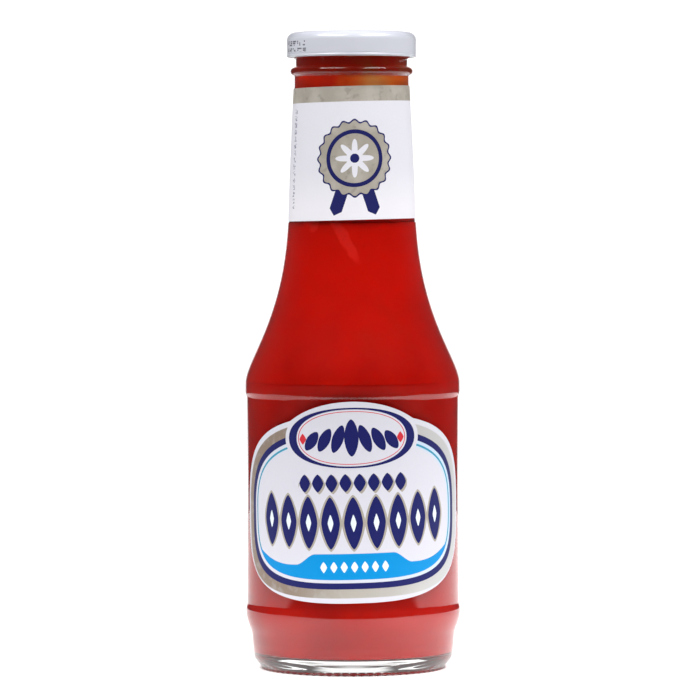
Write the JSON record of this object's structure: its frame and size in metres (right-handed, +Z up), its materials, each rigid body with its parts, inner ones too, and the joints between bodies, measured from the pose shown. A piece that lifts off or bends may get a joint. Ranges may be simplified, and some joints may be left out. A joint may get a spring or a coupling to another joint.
{
  "type": "glass ketchup bottle",
  "caption": "Full glass ketchup bottle with a tapered neck, a twist-off metal cap, a paper neck band and a die-cut front label, standing upright.",
  "frame": {"origin": "middle of the foot, on the surface that the bottle stands on", "axes": "+Z up along the bottle's axis, -Y out of the middle of the front label, +X to the right as the label is read"},
  "size_m": [0.0754, 0.0754, 0.2234],
  "materials": {
    "clear_glass": "clear colourless container glass, polished",
    "ketchup": "deep red tomato sauce, wet and smooth, seen through the glass",
    "white_lacquer": "semi-gloss white lacquer on tinplate",
    "neck_paper": "coated label paper with silver and navy print",
    "front_paper": "coated label paper with silver, navy and light blue print"
  },
  "bodies": {
    "root": {"glass_bottle": "clear_glass", "ketchup": "ketchup", "cap": "white_lacquer", "neck_label": "neck_paper", "body_label": "front_paper"}
  },
  "joints": []
}
